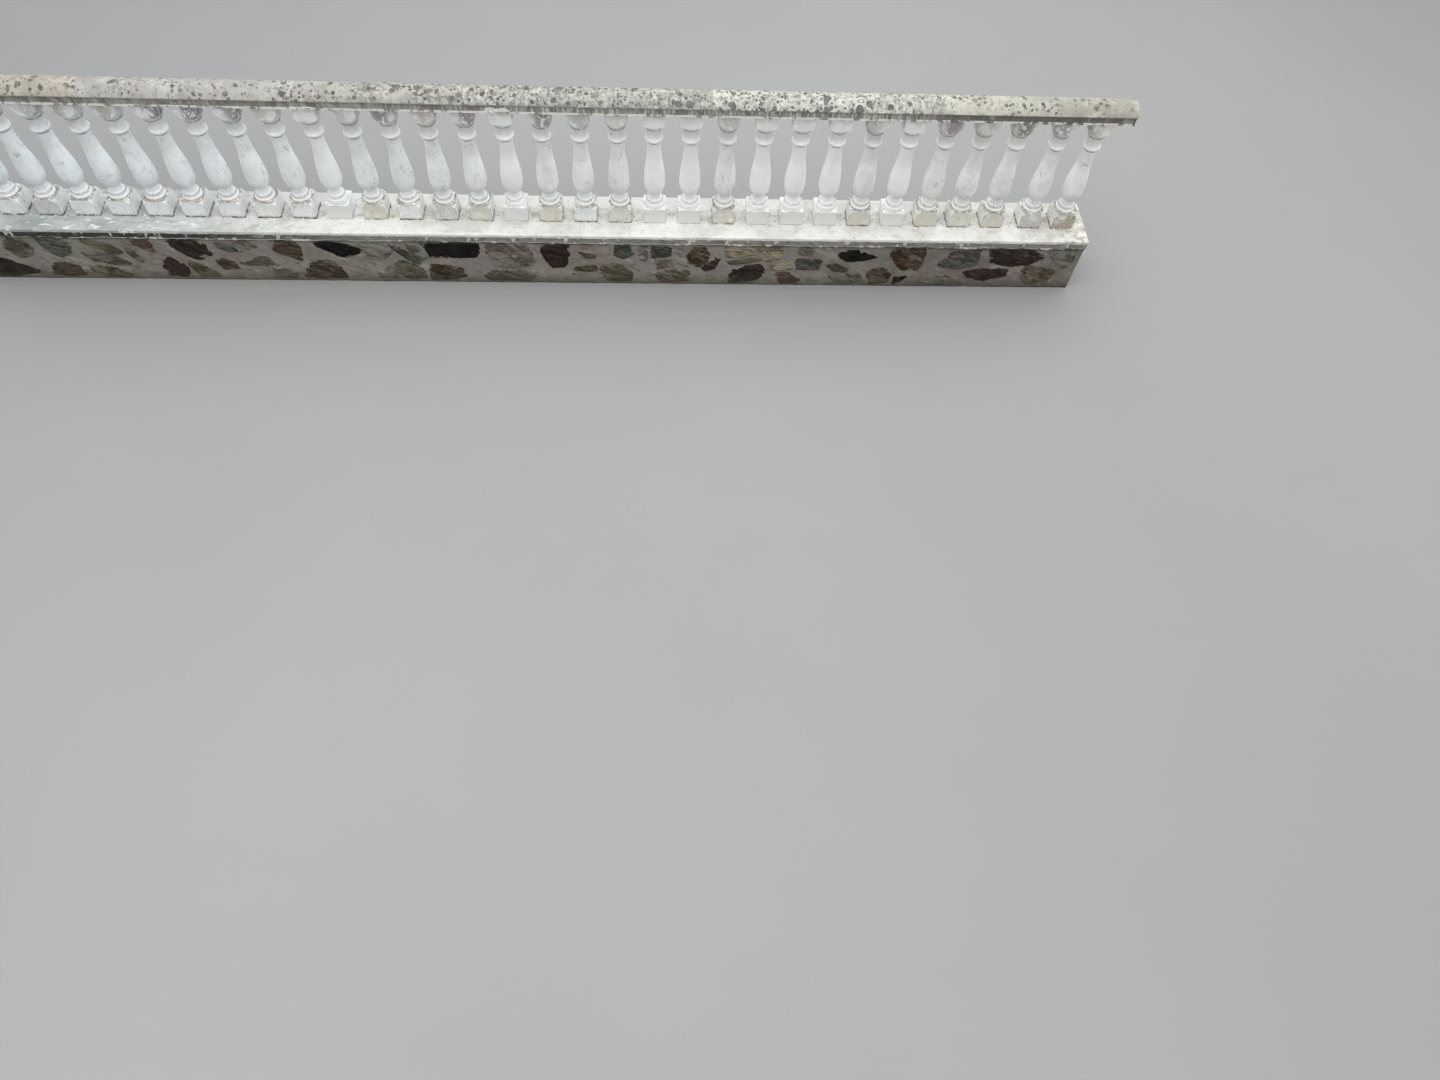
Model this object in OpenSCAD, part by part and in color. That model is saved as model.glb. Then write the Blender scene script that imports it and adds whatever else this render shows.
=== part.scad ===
// Cast stone balustrade standing on a low garden wall of rubble masonry.
// X runs along the wall, -Y is the garden side, Z is up and Z = 0 is the ground.

/* [Run] */
// Number of balusters in the run
baluster_count = 32; // [6:1:48]
// Distance between the axes of neighbouring balusters
baluster_pitch = 180; // [150:1:220]
// How much wider the gap before the last two balusters on the right is
pair_shift = 27; // [0:1:36]
// Distance from the axis of an end baluster to the end of the run
end_margin = 134; // [80:1:200]

/* [Wall] */
// Height of the rubble masonry above the ground
rubble_h = 290; // [200:5:600]
// How far the masonry stands back under the mortar bed on each side
wall_inset = 2; // [0:1:12]
// How much each face of the wall leans out towards its foot
rubble_batter = 4; // [0:1:8]
// Height of the mortar bed that levels the wall
bed_h = 32; // [20:1:50]
// Thickness of the painted sill
sill_h = 20; // [14:1:40]
// Width of the painted sill from front to back
sill_w = 304; // [240:1:370]
// How far the sill stands out over the mortar bed on each side
sill_over = 8; // [3:1:30]
// Radius on the upper edges of the sill
sill_edge_r = 4; // [2:1:8]
// How far the baluster axes stand behind the middle of the sill
baluster_setback = 11; // [0:1:20]

/* [Baluster] */
// Height of a baluster
baluster_h = 646; // [560:1:760]
// Width of the square block at the foot
foot_w = 116; // [104:1:130]
// Height of the block at the foot of the sharper balusters
foot_h = 84; // [60:1:90]
// Height of the block at the foot of the older balusters
old_foot_h = 97; // [84:1:100]
// Radius of the curve that takes off the top corners of an older foot block
old_foot_curve = 162; // [130:1:200]
// How far that curve stands outside the middle of the block's sides at its top
old_foot_shoulder = 8; // [3:1:16]
// Height of the large ring above the taller of the two kinds of foot block
ring_rise = 17; // [14:1:30]
// Radius of the large ring
ring_r = 50; // [44:1:52]
// Radius on the upper edge of the large ring
ring_edge_r = 13; // [6:1:16]
// Height of the thin groove above the large ring
groove_h = 2; // [1:0.5:4]
// Radius of the fillet above the large ring
fillet_r = 46; // [40:1:48]
// Height of the fillet
fillet_h = 5; // [3:1:14]
// Width of the fillet that shows outside the flare above it
fillet_ledge = 1; // [0.5:0.5:4]
// Height of the flare between the fillet and the ankle
ankle_flare_h = 18; // [12:1:30]
// Radius of the ankle under the swelling
ankle_r = 33; // [26:1:36]
// Largest radius of the swelling
belly_r = 54; // [46:1:56]
// Height of the widest place above the ankle
belly_rise = 82; // [60:1:100]
// Radius of the curve under the widest place
belly_low_curve = 105; // [85:1:130]
// Share of the taper above it that still bulges; the rest is hollow
bulge_share = 0.49; // [0.3:0.01:0.7]
// Radius of the slender neck
neck_r = 35; // [30:1:40]
// Height of the straight part of the neck
neck_h = 29; // [10:1:60]
// Radius of the ring on the neck
astragal_r = 45; // [41:1:50]
// Height of the ring on the neck
astragal_h = 22; // [14:1:26]
// Height of the hollow between that ring and the collar
hollow_h = 52; // [36:1:64]
// Radius of the hollow
hollow_r = 33; // [28:1:38]
// Height of the flare that rises from the ring into the hollow
hollow_flare_h = 21; // [10:1:34]
// Width of that flare
hollow_flare_run = 7; // [3:1:10]
// Radius of the collar at its foot
collar_r = 43; // [40:1:48]
// Radius of the collar where it meets the head block
collar_top_r = 40; // [36:1:42]
// Height of the collar
collar_h = 27; // [16:1:32]
// Width of the square block at the head
cap_w = 106; // [96:1:126]
// Height of the square block at the head
cap_h = 72; // [60:1:80]
// Radius of the curve that takes off the lower corners of a sharper head block
cap_curve = 110; // [90:1:130]
// How far that curve stands outside the middle of the block's sides at its underside
cap_shoulder = 13; // [5:1:20]
// Height of the older heads, which end below in a bowl
bowl_h = 90; // [80:1:95]
// How far the bowl's curve stands outside the corners of the head under the handrail
bowl_room = 4; // [1:1:10]
// Places, from the left, of the sharper balusters that were cast later
recast = [11, 16, 20, 21, 23, 24, 25, 27];

/* [Handrail] */
// Number of cast units in the handrail
rail_count = 6; // [2:1:8]
// How much longer the unit at the right end is
rail_end_extra = 130; // [0:5:200]
// Width of the handrail over its rounded nose
rail_w = 136; // [110:1:170]
// Height of the upright face and its lip under the nose
rail_face_h = 41; // [30:1:55]
// How far the nose stands out over the upright face
nose_over = 7; // [2:1:15]
// Height of the lip along the bottom
lip_h = 9; // [5:1:12]
// How far the lip stands out from the upright face
lip_over = 4; // [1:1:10]
// Height of the upright part of the nose
nose_h = 6; // [3:1:12]
// Rise of the rounded top above the nose
crown_h = 38; // [15:1:42]
// Width of the mortar joint between two units
joint_w = 4; // [2:1:8]

/* [Hidden] */
$fn = 64;

run_l = (baluster_count - 1) * baluster_pitch + pair_shift + 2 * end_margin;
bed_z = rubble_h;
sill_z = bed_z + bed_h;
foot_z = sill_z + sill_h;
rail_z = foot_z + baluster_h;

function two(n) = n < 10 ? str("0", n) : str(n);
function baluster_name(n) = str("baluster_", two(n));
function rail_name(n) = str("handrail_", n);
BALUSTERS = [for (n = [1:baluster_count]) baluster_name(n)];
RAILS = [for (n = [1:rail_count]) rail_name(n)];

stone_dark = [0.36, 0.33, 0.30];
mortar_grey = [0.56, 0.55, 0.52];
paint_white = [0.93, 0.93, 0.91];
cast_white = [0.88, 0.89, 0.88];
cast_cream = [0.78, 0.77, 0.72];

// Axis of baluster n, counted from 1 at the left
function baluster_x(n) =
    -run_l / 2 + end_margin + (n - 1) * baluster_pitch + (n > baluster_count - 2 ? pair_shift : 0);
function is_recast(n) = len([for (k = recast) if (k == n) k]) > 0;

// Ends of the handrail units, from the left
rail_l = (run_l - rail_end_extra) / rail_count;
function rail_start(n) = -run_l / 2 + (n - 1) * rail_l + (n > 1 ? joint_w / 2 : 0);
function rail_stop(n) = n == rail_count ? run_l / 2 : -run_l / 2 + n * rail_l - joint_w / 2;

// Widths of the courses under the sill and of the parts of the handrail
bed_t = sill_w - 2 * sill_over;
rubble_t = bed_t - 2 * wall_inset;
rail_face_w = rail_w - 2 * nose_over;
lip_w = rail_face_w + 2 * lip_over;

// Levels of the turned shaft above the foot of the baluster
ring_top = max(foot_h, old_foot_h) + ring_rise;
fillet_z = ring_top + groove_h;
fillet_top = fillet_z + fillet_h;
ankle_z = fillet_top + ankle_flare_h;
belly_z = ankle_z + belly_rise;
cap_z = baluster_h - cap_h;
collar_z = cap_z - collar_h;
hollow_z = collar_z - hollow_h;
astragal_z = hollow_z - astragal_h;
neck_z = astragal_z - neck_h;
ankle_flare_run = fillet_r - ankle_r - fillet_ledge;

// Radius of an arc that starts upright and moves sideways by run over height h
function arc_r(run, h) = (run * run + h * h) / (2 * run);
function tenth(v) = round(10 * v) / 10;

// The taper is two arcs, one bulging and one hollow, upright at the widest place and at the neck. The hollow
// one is a touch longer than a tangent arc, so that the two cross instead of only touching.
curve_lap = 2;
taper_rise = neck_z - belly_z;
curve_sum = arc_r(belly_r - neck_r, taper_rise);
belly_top_curve = round(curve_sum * bulge_share);
neck_curve = ceil(curve_sum - belly_top_curve) + curve_lap;
tangent_z = round(belly_z + taper_rise * bulge_share);

// Radii of the round outlines that the blocks are cut to
old_foot_shoulder_r = foot_w / 2 + old_foot_shoulder;
cap_shoulder_r = cap_w / 2 + cap_shoulder;
bowl_curve = round(arc_r(cap_w / sqrt(2) + bowl_room - collar_top_r, bowl_h));

// The crown's circle is a touch larger than one that ends at the nose, so that it crosses the nose's face
crown_lap = 0.1;
crown_r = ceil(arc_r(crown_h, rail_w / 2) + crown_lap);

// A half round edge of height h that reaches radius r
module round_band(r, h, z) {
    translate([0, z]) square([r - h / 2, h]);
    translate([r - h / 2, z + h / 2]) circle(d = h);
}

// The large ring, from z up to its top, upright below and rounded on its upper edge
module ring_profile(z) {
    round_z = ring_top - ring_edge_r;
    translate([0, z]) square([ring_r, round_z - z]);
    translate([0, z]) square([ring_r - ring_edge_r, ring_top - z]);
    translate([ring_r - ring_edge_r, round_z]) circle(ring_edge_r);
}

// A concave flare, run wider than r at its foot and upright where it meets r at height h
module flare(r, run, h, z) {
    curve = tenth(arc_r(run, h));
    difference() {
        translate([0, z]) square([r + run, h]);
        translate([r + curve, z + h]) circle(curve, $fn = 128);
    }
}

// The part of a disc that narrows to radius r at height h
module narrowing(r, h, curve) {
    intersection() {
        translate([r - sqrt(curve * curve - h * h), 0]) circle(curve, $fn = 128);
        square([curve, h]);
    }
}

// The swelling up to its widest place
module belly_profile() {
    translate([0, ankle_z]) square([ankle_r, belly_z - ankle_z]);
    intersection() {
        translate([belly_r - belly_low_curve, belly_z]) circle(belly_low_curve, $fn = 128);
        translate([0, ankle_z]) square([belly_r, belly_z - ankle_z]);
    }
}

// The long taper above it and the straight neck
module neck_profile() {
    difference() {
        union() {
            intersection() {
                translate([belly_r - belly_top_curve, belly_z]) circle(belly_top_curve, $fn = 512);
                translate([0, belly_z]) square([belly_r, tangent_z - belly_z]);
            }
            translate([0, tangent_z]) square([belly_r, neck_z - tangent_z]);
        }
        translate([neck_r + neck_curve, neck_z]) circle(neck_curve, $fn = 512);
    }
    translate([0, neck_z]) square([neck_r, neck_h]);
}

module shaft_profile() {
    translate([0, ring_top]) square([ankle_r, groove_h]);
    translate([0, fillet_z]) square([fillet_r, fillet_h]);
    flare(ankle_r, ankle_flare_run, ankle_flare_h, fillet_top);
    belly_profile();
    neck_profile();
    round_band(astragal_r, astragal_h, astragal_z);
    flare(hollow_r, hollow_flare_run, hollow_flare_h, hollow_z);
    translate([0, hollow_z]) square([hollow_r, hollow_h]);
    polygon([[0, collar_z], [collar_r, collar_z], [collar_top_r, cap_z], [0, cap_z]]);
}

// A square block of height h, cut to the outline revolved from its child
module block(w, h) {
    intersection() {
        translate([-w / 2, -w / 2, 0]) cube([w, w, h]);
        rotate_extrude() children();
    }
}

// Foot and head blocks of a sharper baluster
module recast_ends() {
    translate([-foot_w / 2, -foot_w / 2, 0]) cube([foot_w, foot_w, foot_h]);
    rotate_extrude() ring_profile(foot_h);
    translate([0, 0, baluster_h])
        mirror([0, 0, 1])
            block(cap_w, cap_h) narrowing(cap_shoulder_r, cap_h, cap_curve);
}

// Foot and head blocks of an older baluster
module old_ends() {
    block(foot_w, old_foot_h) narrowing(old_foot_shoulder_r, old_foot_h, old_foot_curve);
    rotate_extrude() ring_profile(old_foot_h);
    translate([0, 0, baluster_h])
        mirror([0, 0, 1])
            block(cap_w, bowl_h) narrowing(collar_top_r, bowl_h, bowl_curve);
}

module baluster(n) {
    color(is_recast(n) ? paint_white : cast_white)
        translate([baluster_x(n), baluster_setback, foot_z]) {
            rotate_extrude() shaft_profile();
            if (is_recast(n)) recast_ends();
            else old_ends();
        }
}

// Half of the handrail section, from its underside up
module rail_half_section() {
    nose_r = nose_h / 2;
    square([lip_w / 2, lip_h]);
    square([rail_face_w / 2, rail_face_h + nose_r]);
    translate([0, rail_face_h]) square([rail_w / 2, nose_h]);
    intersection() {
        translate([0, rail_face_h + nose_h]) square([rail_w / 2, crown_h]);
        translate([0, rail_face_h + nose_h + crown_h - crown_r]) circle(crown_r, $fn = 128);
    }
}

module rail_section() {
    rail_half_section();
    mirror([1, 0]) rail_half_section();
}

module rail_piece(x0, x1) {
    translate([x0, baluster_setback, rail_z])
        rotate([90, 0, 90])
            linear_extrude(x1 - x0) rail_section();
}

module handrail(n) {
    color(cast_cream) rail_piece(rail_start(n), rail_stop(n));
}

module rail_joints() {
    color(mortar_grey)
        for (n = [1:rail_count - 1]) rail_piece(rail_stop(n), rail_stop(n) + joint_w);
}

module sill() {
    inner = sill_w - 2 * sill_edge_r;
    color(paint_white)
        translate([-run_l / 2, 0, sill_z])
            rotate([90, 0, 90])
                linear_extrude(run_l) {
                    translate([-sill_w / 2, 0]) square([sill_w, sill_h - sill_edge_r]);
                    translate([-inner / 2, 0]) square([inner, sill_h]);
                    for (side = [-1, 1])
                        translate([side * inner / 2, sill_h - sill_edge_r]) circle(sill_edge_r);
                }
}

module mortar_bed() {
    color(mortar_grey)
        translate([-run_l / 2, -bed_t / 2, bed_z]) cube([run_l, bed_t, bed_h]);
}

module rubble_wall() {
    foot_half = rubble_t / 2 + rubble_batter;
    top_half = rubble_t / 2;
    color(stone_dark)
        translate([-run_l / 2, 0, 0])
            rotate([90, 0, 90])
                linear_extrude(run_l)
                    polygon([[-foot_half, 0], [foot_half, 0], [top_half, rubble_h], [-top_half, rubble_h]]);
}

rubble_wall();
mortar_bed();
sill();
for (n = [1:baluster_count])
    baluster(n);
for (n = [1:rail_count])
    handrail(n);
rail_joints();
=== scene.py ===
"""A white cast stone balustrade on a low rubble wall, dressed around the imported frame."""

import math
import random
from functools import partialmethod
from itertools import product

import bpy
from mathutils import Matrix, Vector, noise


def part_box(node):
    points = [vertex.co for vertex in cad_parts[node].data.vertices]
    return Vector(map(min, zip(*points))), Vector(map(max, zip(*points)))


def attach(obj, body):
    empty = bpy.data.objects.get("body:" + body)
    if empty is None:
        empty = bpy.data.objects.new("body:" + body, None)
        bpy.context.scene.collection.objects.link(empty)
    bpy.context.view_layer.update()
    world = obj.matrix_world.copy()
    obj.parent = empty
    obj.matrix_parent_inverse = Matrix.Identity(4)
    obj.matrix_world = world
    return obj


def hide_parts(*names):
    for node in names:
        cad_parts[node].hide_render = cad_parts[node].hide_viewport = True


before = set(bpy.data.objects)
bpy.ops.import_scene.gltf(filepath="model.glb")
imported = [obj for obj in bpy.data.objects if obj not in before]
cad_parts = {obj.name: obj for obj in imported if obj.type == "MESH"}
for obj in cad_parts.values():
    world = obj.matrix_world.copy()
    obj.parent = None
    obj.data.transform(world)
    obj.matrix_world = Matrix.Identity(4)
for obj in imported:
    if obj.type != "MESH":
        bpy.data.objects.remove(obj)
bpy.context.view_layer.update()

# Places taken from the frame, in metres
BALUSTERS = sorted(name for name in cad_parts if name.startswith("baluster_"))
RAILS = sorted(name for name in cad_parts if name.startswith("handrail_"))
WALL_LOW, WALL_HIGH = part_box("rubble_wall")
BED_LOW, BED_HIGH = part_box("mortar_bed")
SILL_LOW, SILL_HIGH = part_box("sill")
RAIL_LOW, RAIL_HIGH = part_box("handrail_1")
HALF_RUN = SILL_HIGH[0]
SILL_TOP = SILL_HIGH[2]
RAIL_Y = (RAIL_LOW[1] + RAIL_HIGH[1]) / 2

# Heights on a baluster above the sill
FOOT_BLOCK = 0.084
OLD_FOOT_BLOCK = 0.097
RING_TOP = 0.113
GROOVE = 0.115
ANKLE = 0.1225
NECK_RING = 0.473
COLLAR_FOOT = 0.547
HEAD_TOP = 0.646

# Half widths of the foot block, head block and handrail's face, and the foot ring's radius
FOOT_HALF = 0.058
HEAD_HALF = 0.053
RAIL_FACE_HALF = 0.061
RING_RADIUS = 0.0515

# Heights on the handrail's side above its lowest edge
LIP_TOP = 0.0105
NOSE_FOOT = 0.041

# The balusters that were cast again, whiter and sharper than the rest
RECAST = {11, 16, 20, 21, 23, 24, 25, 27}

STONE_TONES = {
    "black": (0.013, 0.011, 0.01), "maroon": (0.04, 0.027, 0.025), "brown": (0.088, 0.063, 0.045),
    "rust": (0.095, 0.058, 0.038), "olive": (0.15, 0.133, 0.098), "slate": (0.1, 0.105, 0.094),
    "grey": (0.195, 0.18, 0.155), "green": (0.225, 0.222, 0.182), "ochre": (0.29, 0.25, 0.18),
}
STAIN_TONES = {
    "brown": (0.36, 0.31, 0.23), "grey": (0.36, 0.36, 0.33), "sand": (0.56, 0.52, 0.42),
    "pink": (0.47, 0.42, 0.4), "yellow": (0.54, 0.5, 0.39), "purple": (0.27, 0.235, 0.25),
    "green": (0.24, 0.25, 0.22), "dark": (0.2, 0.19, 0.18),
}
# Tone and strength of the weathering on the front of an old foot block
FOOT_STAINS = {
    3: ("grey", 0.45), 12: ("sand", 0.7), 14: ("grey", 0.4), 15: ("sand", 0.75), 17: ("sand", 0.6),
    19: ("sand", 0.5), 22: ("yellow", 0.65), 26: ("sand", 0.7), 28: ("yellow", 0.65), 29: ("sand", 0.6),
    30: ("sand", 0.8), 31: ("grey", 0.6), 32: ("brown", 0.9),
}
# Old balusters with strong grey veins
VEINED = {6, 15, 17, 30}
# Tone, place across the block from -1 to 1, and strength of the stain on a head block
HEAD_STAINS = {
    3: ("grey", -0.5, 0.6), 4: ("grey", 0.6, 0.6), 5: ("brown", -0.7, 0.7), 6: ("brown", 0.0, 0.65),
    7: ("dark", 0.7, 0.75), 8: ("dark", 0.5, 0.85), 9: ("purple", 0.7, 0.75), 10: ("brown", -0.6, 0.45),
    12: ("grey", -0.5, 0.45), 13: ("dark", -0.3, 0.8), 14: ("pink", 0.0, 0.8), 15: ("purple", 0.5, 0.9),
    17: ("dark", 0.3, 0.8), 18: ("grey", 0.0, 0.55), 19: ("sand", 0.2, 0.5), 22: ("grey", 0.2, 0.4),
    26: ("grey", -0.5, 0.5), 28: ("purple", 0.1, 0.85), 29: ("grey", -0.2, 0.32), 30: ("green", 0.0, 1.0),
    31: ("purple", -0.4, 0.7), 32: ("grey", -0.9, 0.6),
}


# The place of each baluster's axis along the wall
AXES = {int(name[-2:]): sum(corner[0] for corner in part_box(name)) / 2 for name in BALUSTERS}
EVEN = (1, 1, 1)


class Graph:
    """Adds nodes to a tree; a value is a number, colour, vector or socket."""

    def __init__(self, tree):
        self.tree = tree

    def put(self, socket, value):
        if isinstance(value, bpy.types.NodeSocket):
            self.tree.links.new(value, socket)
        elif socket.type == "RGBA":
            socket.default_value = (*value, 1)
        else:
            socket.default_value = value

    def node(self, kind, *values, **settings):
        """A new node with its settings, and values for its first inputs."""
        node = self.tree.nodes.new("ShaderNode" + kind)
        for name, value in settings.items():
            setattr(node, name, value)
        for socket, value in zip(node.inputs, values):
            self.put(socket, value)
        return node

    def fill(self, node, **values):
        """The same node, with values for the inputs that are named."""
        for name, value in values.items():
            self.put(node.inputs[name], value)
        return node

    def split(self, vector):
        return tuple(self.node("SeparateXYZ", vector).outputs)

    def math(self, operation, a, b=0):
        return self.node("Math", a, b, operation=operation).outputs[0]

    add = partialmethod(math, "ADD")
    less = partialmethod(math, "SUBTRACT")
    times = partialmethod(math, "MULTIPLY")
    either = partialmethod(math, "MAXIMUM")

    def looked_at(self):
        """1 where a surface is seen, in gloss and glass too; 0 for the light it throws."""
        rays = self.node("LightPath").outputs
        straight = self.either(rays["Is Camera Ray"], rays["Is Glossy Ray"])
        return self.either(straight, rays["Is Transmission Ray"])


class Shade(Graph):
    """Builds one material step by step, by laying tones over its colour."""

    def __init__(self, name, roughness, specular=0.25):
        self.material = bpy.data.materials.new(name)
        self.material.use_nodes = True
        super().__init__(self.material.node_tree)
        self.shader = self.tree.nodes["Principled BSDF"]
        self.put(self.shader.inputs["Roughness"], roughness)
        self.put(self.shader.inputs["Specular IOR Level"], specular)
        self.place = self.node("TexCoord").outputs["Object"]
        self.x, self.y, self.z = self.split(self.place)
        self.facing_y, self.facing_z = self.split(self.node("NewGeometry").outputs["Normal"])[1:]
        self.colour = (1, 1, 1)
        self.shift_unit = 1

    def rise(self, value, start, end):
        """0 below start, 1 above end and smooth between; start may be the higher one."""
        return self.node("MapRange", value, start, end, interpolation_type="SMOOTHSTEP").outputs[0]

    def near(self, value, centre, reach):
        """1 at the centre, falling to 0 at reach on both sides."""
        return self.rise(self.math("ABSOLUTE", self.less(value, centre)), reach, 0)

    def within(self, value, low, high, soft):
        return self.times(self.rise(value, low - soft, low), self.rise(value, high + soft, high))

    def cloud(self, size, shift=0, detail=4, stretch=EVEN, warp=0, lean=0, place=None):
        """Noise around 0.5 with features of about size metres, longer along a stretched axis."""
        shift *= self.shift_unit
        moved = (shift, shift * 0.7, shift * 1.3)
        tilt = (0, math.radians(lean), 0)
        scale = [size * s for s in stretch]
        mapping = self.node("Mapping", place or self.place, moved, tilt, scale, vector_type="TEXTURE")
        node = self.node("TexNoise", mapping.outputs[0])
        return self.fill(node, Scale=1, Detail=detail, Roughness=0.6, Distortion=warp).outputs["Fac"]

    def patches(self, size, shift, start, end, *shape):
        """Ragged patches where a cloud rises from start to end; shape is as in cloud."""
        return self.rise(self.cloud(size, shift, *shape), start, end)

    def veins(self, size, width, shift, warp=1.2, stretch=EVEN):
        """Thin wandering lines where a cloud crosses its middle value."""
        return self.near(self.cloud(size, shift, 2, stretch, warp), 0.5, width)

    def dots(self, size, small, large, shift=0):
        """Round ragged spots of mixed radii, one at most in each cell of a size."""
        wobble = self.fill(self.node("TexNoise", self.place), Scale=2.2 / size, Detail=3).outputs["Color"]
        ragged = self.node("VectorMath", wobble, [size * 0.45] * 3, [shift] * 3, operation="MULTIPLY_ADD")
        moved = self.node("VectorMath", self.place, ragged.outputs[0], operation="ADD")
        cells = self.fill(self.node("TexVoronoi", moved.outputs[0]), Scale=1 / size)
        chance = self.split(cells.outputs["Color"])[0]
        radius = self.add(self.times(chance, large - small), small)
        return self.rise(self.less(radius, cells.outputs["Distance"]), 0, 0.05)

    def mix(self, factor, a, b, blend="MIX"):
        node = self.node("Mix", factor, data_type="RGBA", blend_type=blend)
        self.put(node.inputs[6], a)
        self.put(node.inputs[7], b)
        return node.outputs[2]

    def over(self, colour, tone, strength, *masks):
        """A colour with a tone laid over it, at a strength, where all the masks are 1."""
        cover = strength
        for mask in masks:
            cover = self.times(cover, mask)
        return self.mix(cover, colour, tone)

    def coat(self, tone, strength, *masks):
        """Lays a tone over the material's own colour."""
        self.colour = self.over(self.colour, tone, strength, *masks)

    def attribute(self, name, output):
        return self.node("Attribute", attribute_name=name).outputs[output]

    def relief(self, height, depth):
        """Bump from a height between 0 and 1, depth in metres."""
        bump = self.fill(self.node("Bump"), Distance=depth, Height=height)
        self.put(self.shader.inputs["Normal"], bump.outputs[0])

    def finish(self):
        self.put(self.shader.inputs["Base Color"], self.colour)
        return self.material


class BalusterShade(Shade):
    """A baluster's stone, which knows a point's place on it and has clouds of its own."""

    def __init__(self, n):
        self.n = n
        self.fresh = n in RECAST
        self.block_top = self.by_age(FOOT_BLOCK, OLD_FOOT_BLOCK)
        super().__init__(f"cast_stone_{n:02d}", self.by_age(0.62, 0.72))
        self.shift_unit = n
        self.height = self.less(self.z, SILL_TOP)
        self.across = self.less(self.x, AXES[n])
        deep = self.less(self.y, RAIL_Y)
        square = self.add(self.times(self.across, self.across), self.times(deep, deep))
        self.radius = self.math("SQRT", square)
        self.front = self.rise(self.facing_y, -0.3, -0.9)

    def by_age(self, fresh, old):
        """One value for a recast baluster and another for an old one."""
        return fresh if self.fresh else old

    def along_run(self, left, right):
        """A colour that changes from the run's left end to its right."""
        return self.mix(self.rise(self.x, -HALF_RUN, HALF_RUN * 0.6), left, right)


def cast_stone(n):
    """A baluster's stone, with the dirt and stains of this one, and painted shade and highlights."""
    s = BalusterShade(n)
    cast_ground(s)
    streaks_and_veins(s)
    crease_shade_and_dirt(s)
    ring_and_ledge(s)
    joint_dirt_and_shade_on_sill(s)
    foot_front(s)
    neck_shade_and_highlight(s)
    head_dirt_and_shade(s)
    cast_relief(s)
    return s.finish()


def cast_ground(s):
    """White stone, mottled on an old baluster and warmer at its foot."""
    clean = s.by_age([(0.8, 0.835, 0.85), (0.84, 0.84, 0.825)], [(0.79, 0.84, 0.86), (0.8, 0.8, 0.775)])
    dull = s.by_age([(0.73, 0.76, 0.775), (0.77, 0.775, 0.765)], [(0.7, 0.74, 0.76), (0.69, 0.7, 0.68)])
    broad = s.patches(0.1, 3.1, s.by_age(0.35, 0.38), s.by_age(0.7, 0.66))
    s.colour = s.mix(broad, s.along_run(*clean), s.along_run(*dull))
    warm = s.along_run((0.76, 0.775, 0.76), (0.74, 0.74, 0.71))
    s.coat(warm, s.by_age(0, 0.75), s.rise(s.height, 0.16, 0.11))
    fine = s.patches(0.022, 1.7, 0.52, s.by_age(0.75, 0.74), 6)
    s.coat(s.by_age((0.66, 0.66, 0.62), (0.54, 0.54, 0.5)), s.by_age(0.25, 0.35), fine)


def streaks_and_veins(s):
    """Upright streaks, grey veins and dark specks, stronger on an old baluster."""
    streaks = s.patches(0.016, 5.3, 0.54, 0.72, 3, (1, 1, 9))
    s.coat((0.42, 0.44, 0.44), s.by_age(0.08, 0.2), streaks)
    veins = s.veins(0.085, 0.013, 2.3, 1.5, (1, 1, 1.8))
    strength = s.by_age(0.12, 0.95 if s.n in VEINED else 0.75)
    s.coat((0.33, 0.34, 0.35), strength, veins, s.patches(0.12, 6.3, 0.42, 0.56))
    specks = s.patches(0.006, 7.9, 0.68, 0.75, 2)
    s.coat((0.2, 0.19, 0.17), s.by_age(0.15, 0.45), specks)


def crease_shade_and_dirt(s):
    """Dark lines over the ring, at the ankle, under the neck ring and under the collar: painted shade in
    these creases and under these overhangs, with some dirt.
    """
    groove = s.times(s.near(s.height, GROOVE, 0.0035), s.rise(s.radius, 0.047, 0.044))
    ankle = s.times(s.near(s.height, ANKLE, 0.0036), 0.62)
    shade_under_neck_ring = s.near(s.height, NECK_RING - 0.002, 0.007)
    shade_under_collar = s.near(s.height, COLLAR_FOOT + 0.004, 0.0065)
    lines = s.either(s.either(groove, ankle), s.either(shade_under_neck_ring, shade_under_collar))
    ragged = s.patches(0.022, 4.1, 0.28, 0.5, 5)
    # Painted shade and dirt, broken into ragged patches
    s.coat((0.105, 0.098, 0.086), s.by_age(0.8, 0.95), lines, ragged)


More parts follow.
